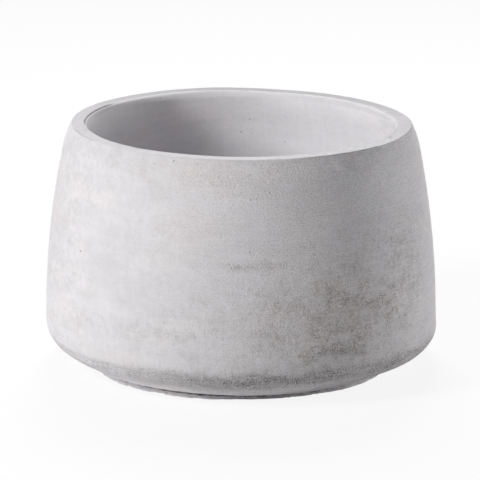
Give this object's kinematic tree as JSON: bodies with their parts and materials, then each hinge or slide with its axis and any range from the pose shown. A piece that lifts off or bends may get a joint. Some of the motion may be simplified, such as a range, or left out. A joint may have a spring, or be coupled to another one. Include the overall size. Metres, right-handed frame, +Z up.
{
  "type": "concrete bowl planter",
  "caption": "Cast concrete bowl planter with a full low belly, walls leaning in to a flat rim, a set-back foot, recessed pads and a pull-out rubber drain plug.",
  "frame": {"origin": "centre of the ground plane under the foot pads", "axes": "+Z up along the axis of the bowl; the plug's pull tab lies along X"},
  "size_m": [0.32, 0.32, 0.2],
  "materials": {
    "concrete": "pale grey cast fibre cement, matt, with fine pores and water marks",
    "plug_rubber": "dark grey moulded rubber, satin",
    "pad_rubber": "dark foam rubber, matt"
  },
  "bodies": {
    "bowl": {"concrete_bowl": "concrete", "foot_pad_1": "pad_rubber", "foot_pad_2": "pad_rubber", "foot_pad_3": "pad_rubber", "foot_pad_4": "pad_rubber"},
    "plug": {"drain_plug": "plug_rubber"}
  },
  "joints": [
    {"name": "plug_lift", "type": "slide", "parent": "bowl", "child": "plug", "axis": [0, 0, 1], "range_m": [0, 0.22]}
  ]
}
